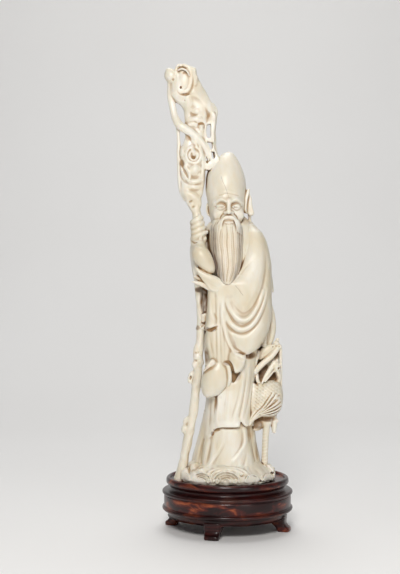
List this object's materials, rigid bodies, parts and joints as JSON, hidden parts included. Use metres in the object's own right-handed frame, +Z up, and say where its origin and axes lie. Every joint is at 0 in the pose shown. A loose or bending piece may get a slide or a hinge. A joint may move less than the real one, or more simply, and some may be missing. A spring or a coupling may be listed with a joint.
{
  "type": "shou lao figure",
  "caption": "Standing carved figure of Shou Lao, the old god of long life, with staff, peach and crane, on a round hardwood stand with low feet.",
  "frame": {"origin": "on the floor, at the middle of the round stand", "axes": "+Z up, the figure faces -Y, and the staff is on the -X side"},
  "size_m": [0.1092, 0.1092, 0.3869],
  "materials": {
    "ivory": "polished cream ivory, warm brown in the hollows",
    "hardwood": "dark red-brown polished hardwood"
  },
  "bodies": {
    "root": {"shou_lao_carving": "ivory", "hardwood_stand": "hardwood"}
  },
  "joints": []
}
